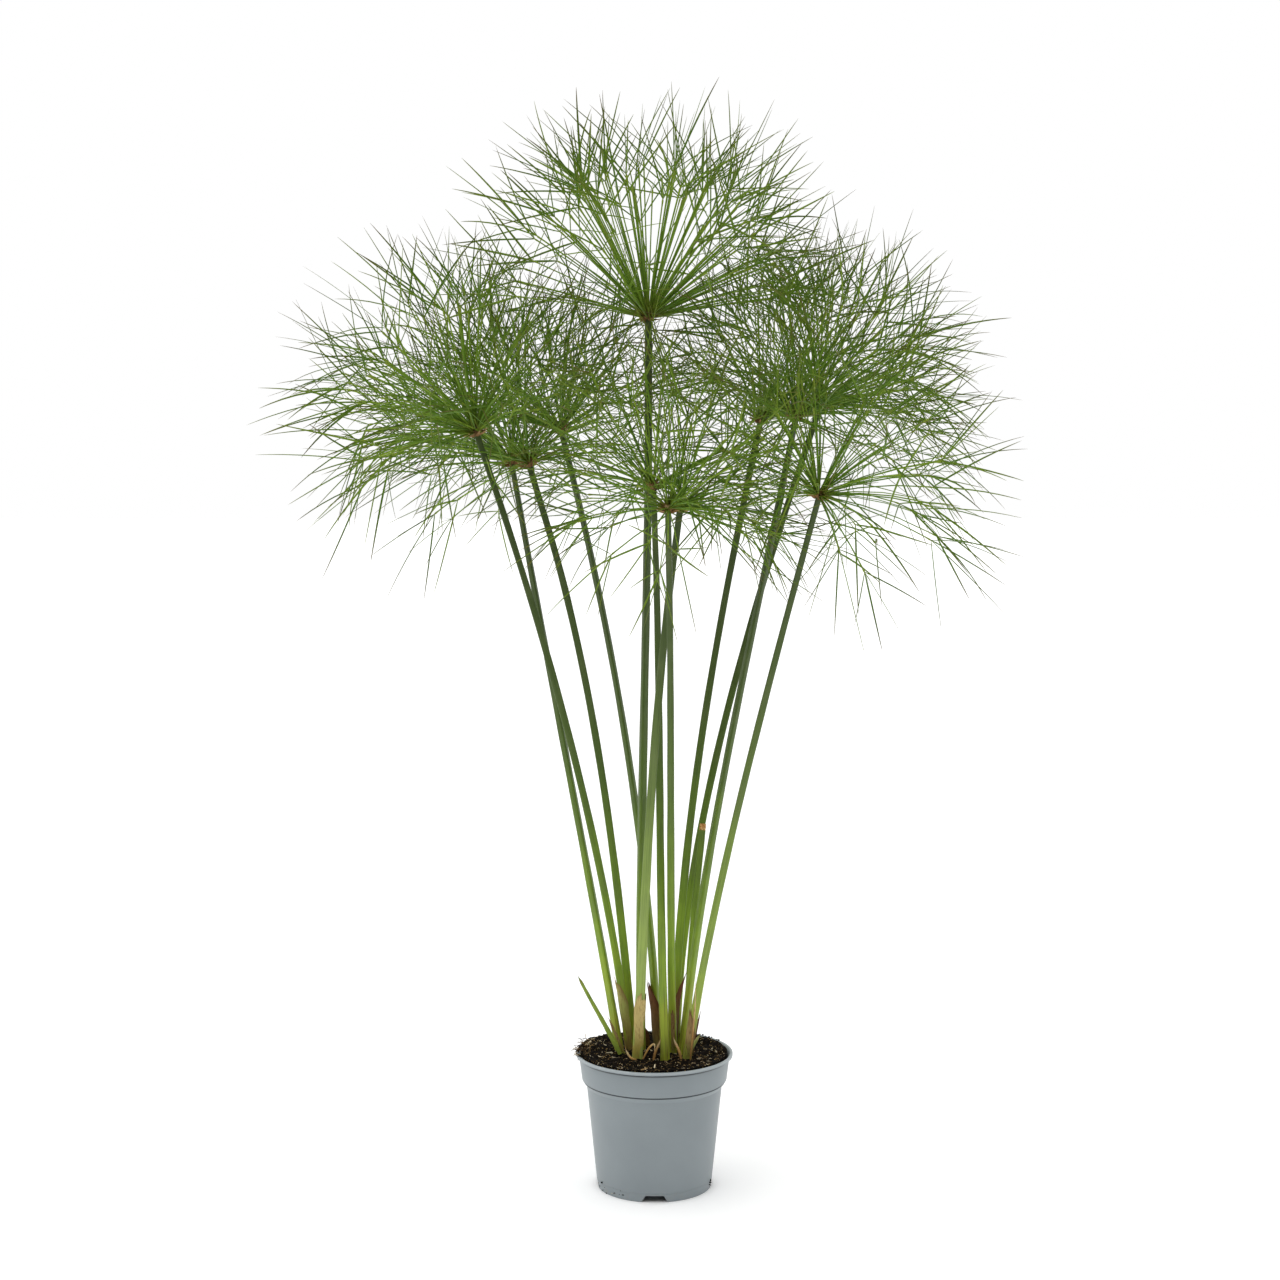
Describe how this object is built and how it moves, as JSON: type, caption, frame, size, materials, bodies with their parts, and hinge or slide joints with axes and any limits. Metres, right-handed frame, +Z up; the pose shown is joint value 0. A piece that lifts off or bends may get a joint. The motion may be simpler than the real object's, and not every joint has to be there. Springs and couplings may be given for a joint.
{
  "type": "potted papyrus plant",
  "caption": "Tall papyrus with mop-like umbels on slender three-sided stems, growing from soil in a round tapered nursery pot.",
  "frame": {"origin": "middle of the flat pad under the pot, on the surface that the pot stands on", "axes": "+Z up along the pot's axis and the tall stems, -Y towards the front that the picture shows, +X to the right"},
  "size_m": [0.7966, 0.6663, 1.1913],
  "materials": {
    "pot_plastic": "satin",
    "potting_soil": "matte",
    "culm_green": "satin",
    "cut_culm": "matte",
    "umbel_green": "satin",
    "young_leaf": "satin",
    "dry_husk": "matte"
  },
  "bodies": {
    "root": {"pot": "pot_plastic", "soil": "potting_soil", "culm_01": "culm_green", "culm_02": "culm_green", "culm_03": "culm_green", "culm_04": "culm_green", "culm_05": "culm_green", "culm_06": "culm_green", "culm_07": "culm_green", "culm_08": "culm_green", "culm_09": "culm_green", "culm_10": "culm_green", "culm_11": "culm_green", "culm_12": "culm_green", "cut_culm": "cut_culm", "umbel_01": "umbel_green", "umbel_02": "umbel_green", "umbel_03": "umbel_green", "umbel_04": "umbel_green", "umbel_05": "umbel_green", "umbel_06": "umbel_green", "umbel_07": "umbel_green", "umbel_08": "umbel_green", "umbel_09": "umbel_green", "umbel_10": "umbel_green", "umbel_11": "umbel_green", "umbel_12": "umbel_green", "young_leaf": "young_leaf", "leaflet": "young_leaf", "sheath_01": "dry_husk", "sheath_04": "dry_husk", "sheath_08": "dry_husk", "sheath_12": "dry_husk", "dry_leaf": "dry_husk", "scale_1": "dry_husk", "scale_2": "dry_husk", "scale_3": "dry_husk", "scale_4": "dry_husk", "scale_5": "dry_husk"}
  },
  "joints": []
}
